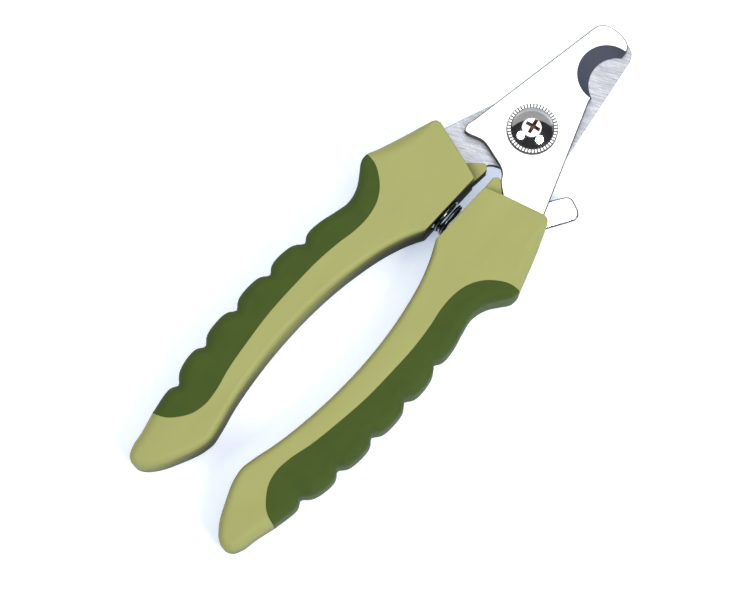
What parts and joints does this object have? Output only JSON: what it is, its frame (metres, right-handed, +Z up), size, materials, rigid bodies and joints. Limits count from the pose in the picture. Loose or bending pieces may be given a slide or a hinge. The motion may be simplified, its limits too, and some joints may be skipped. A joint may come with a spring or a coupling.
{
  "type": "pet nail trimmer",
  "caption": "Plier-type pet nail trimmer with two notched shearing blades on a barrel-nut pivot, sprung two-colour grip handles and a thumb lock lever, stored locked closed.",
  "frame": {"origin": "middle of the closed tool's footprint, on the surface it lies on", "axes": "+Z up out of the front face, +Y towards the blade tip, +X towards the right handle seen from the front"},
  "size_m": [0.0516, 0.1636, 0.014],
  "materials": {
    "blade_steel": "brushed stainless steel with a ground notch",
    "bright_plate": "bright nickel plate",
    "hard_plastic": "satin moulded olive plastic",
    "soft_grip": "soft matt dark green grip moulding",
    "spring_wire": "black oiled spring wire"
  },
  "bodies": {
    "left_half": {"back_blade": "blade_steel", "left_handle_core": "hard_plastic", "left_grip": "soft_grip", "pivot_screw": "bright_plate", "serrated_ring": "bright_plate", "barrel_nut": "bright_plate", "back_washer": "bright_plate", "handle_spring": "spring_wire"},
    "right_half": {"front_blade": "blade_steel", "right_handle_core": "hard_plastic", "right_grip": "soft_grip", "lock_rivet": "bright_plate", "lock_washer": "bright_plate"},
    "lock": {"lock_lever": "bright_plate"}
  },
  "joints": [
    {"name": "handles_open", "type": "hinge", "parent": "left_half", "child": "right_half", "pos_m": [0, 0.0486, 0.007], "axis": [0, 0, 1], "range_deg": [0, 25], "deforming": ["handle_spring"]},
    {"name": "lock_turn", "type": "hinge", "parent": "right_half", "child": "lock", "pos_m": [0.0152, 0.0309, 0.007], "axis": [0, 0, 1], "range_deg": [0, 18]}
  ]
}
